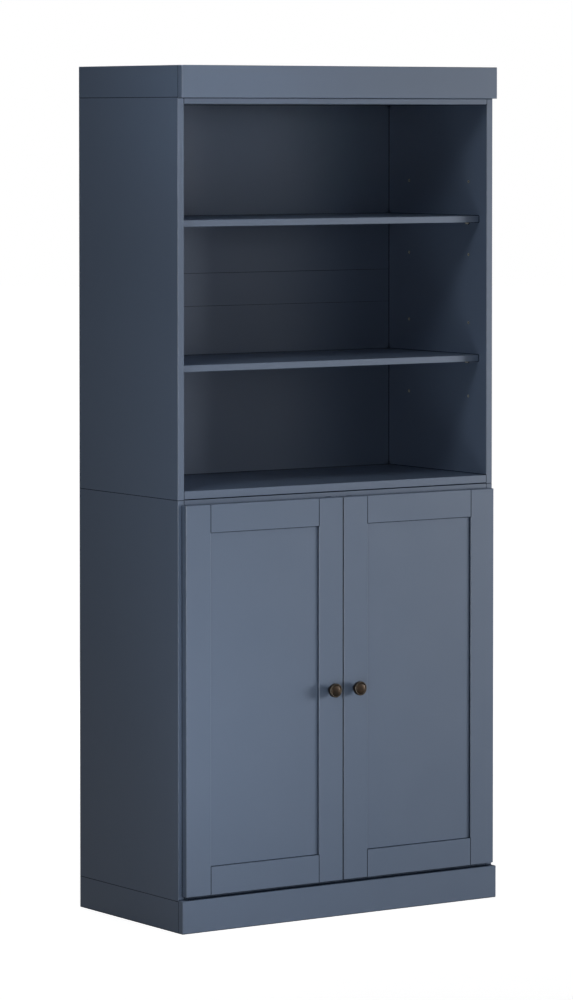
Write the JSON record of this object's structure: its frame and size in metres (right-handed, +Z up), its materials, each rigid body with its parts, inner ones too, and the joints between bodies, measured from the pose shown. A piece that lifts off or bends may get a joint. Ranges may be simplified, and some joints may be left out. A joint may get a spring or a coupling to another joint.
{
  "type": "bookcase with cabinet doors",
  "caption": "Tall painted bookcase: an open bay with adjustable shelves over a cabinet with hinged panel doors, between a plinth and a cornice.",
  "frame": {"origin": "on the floor, at the centre of the plinth's footprint", "axes": "+Z up; the doors look along -Y; +X is to the right as one faces the doors"},
  "size_m": [0.9, 0.4745, 2],
  "materials": {
    "blue_paint": "satin slate-blue paint",
    "bare_wood": "unfinished",
    "aged_bronze": "aged dark bronze",
    "brass_pin": "satin",
    "zinc_steel": "zinc plated",
    "grey_felt": "felt"
  },
  "bodies": {
    "carcass": {"cornice_back_rail": "bare_wood", "cornice_corner_blocks": "bare_wood", "cornice_front": "blue_paint", "cornice_side_left": "blue_paint", "cornice_side_right": "blue_paint", "cornice_top_panel": "blue_paint", "door_felt_pads": "grey_felt", "left_hinge_arms": "zinc_steel", "left_hinge_plates": "zinc_steel", "lower_back_panel_high": "blue_paint", "lower_back_panel_low": "blue_paint", "lower_back_rail": "blue_paint", "lower_floor_panel": "blue_paint", "lower_shelf": "blue_paint", "lower_side_left": "blue_paint", "lower_side_right": "blue_paint", "lower_top_panel": "blue_paint", "module_link_plates": "zinc_steel", "plinth_back_rail": "bare_wood", "plinth_centre_brace": "bare_wood", "plinth_corner_blocks": "bare_wood", "plinth_front": "blue_paint", "plinth_side_left": "blue_paint", "plinth_side_right": "blue_paint", "right_hinge_arms": "zinc_steel", "right_hinge_plates": "zinc_steel", "upper_back_panel_high": "blue_paint", "upper_back_panel_low": "blue_paint", "upper_back_rail": "blue_paint", "upper_floor_panel": "blue_paint", "upper_shelf_high": "blue_paint", "upper_shelf_low": "blue_paint", "upper_shelf_pins": "brass_pin", "upper_side_left": "blue_paint", "upper_side_right": "blue_paint", "upper_top_panel": "blue_paint"},
    "left_door": {"left_door_bottom_rail": "blue_paint", "left_door_hinge_stile": "blue_paint", "left_door_knob": "aged_bronze", "left_door_knob_screw": "zinc_steel", "left_door_meeting_stile": "blue_paint", "left_door_panel": "blue_paint", "left_door_top_rail": "blue_paint", "left_hinge_cups": "zinc_steel", "left_hinge_pins": "zinc_steel"},
    "right_door": {"right_door_bottom_rail": "blue_paint", "right_door_hinge_stile": "blue_paint", "right_door_knob": "aged_bronze", "right_door_knob_screw": "zinc_steel", "right_door_meeting_stile": "blue_paint", "right_door_panel": "blue_paint", "right_door_top_rail": "blue_paint", "right_hinge_cups": "zinc_steel", "right_hinge_pins": "zinc_steel"}
  },
  "joints": [
    {"name": "left_door_hinge", "type": "hinge", "parent": "carcass", "child": "left_door", "pos_m": [-0.4335, -0.2175, 0.537], "axis": [0, 0, -1], "range_deg": [0, 95]},
    {"name": "right_door_hinge", "type": "hinge", "parent": "carcass", "child": "right_door", "pos_m": [0.4335, -0.2175, 0.537], "axis": [0, 0, 1], "range_deg": [0, 95]}
  ]
}
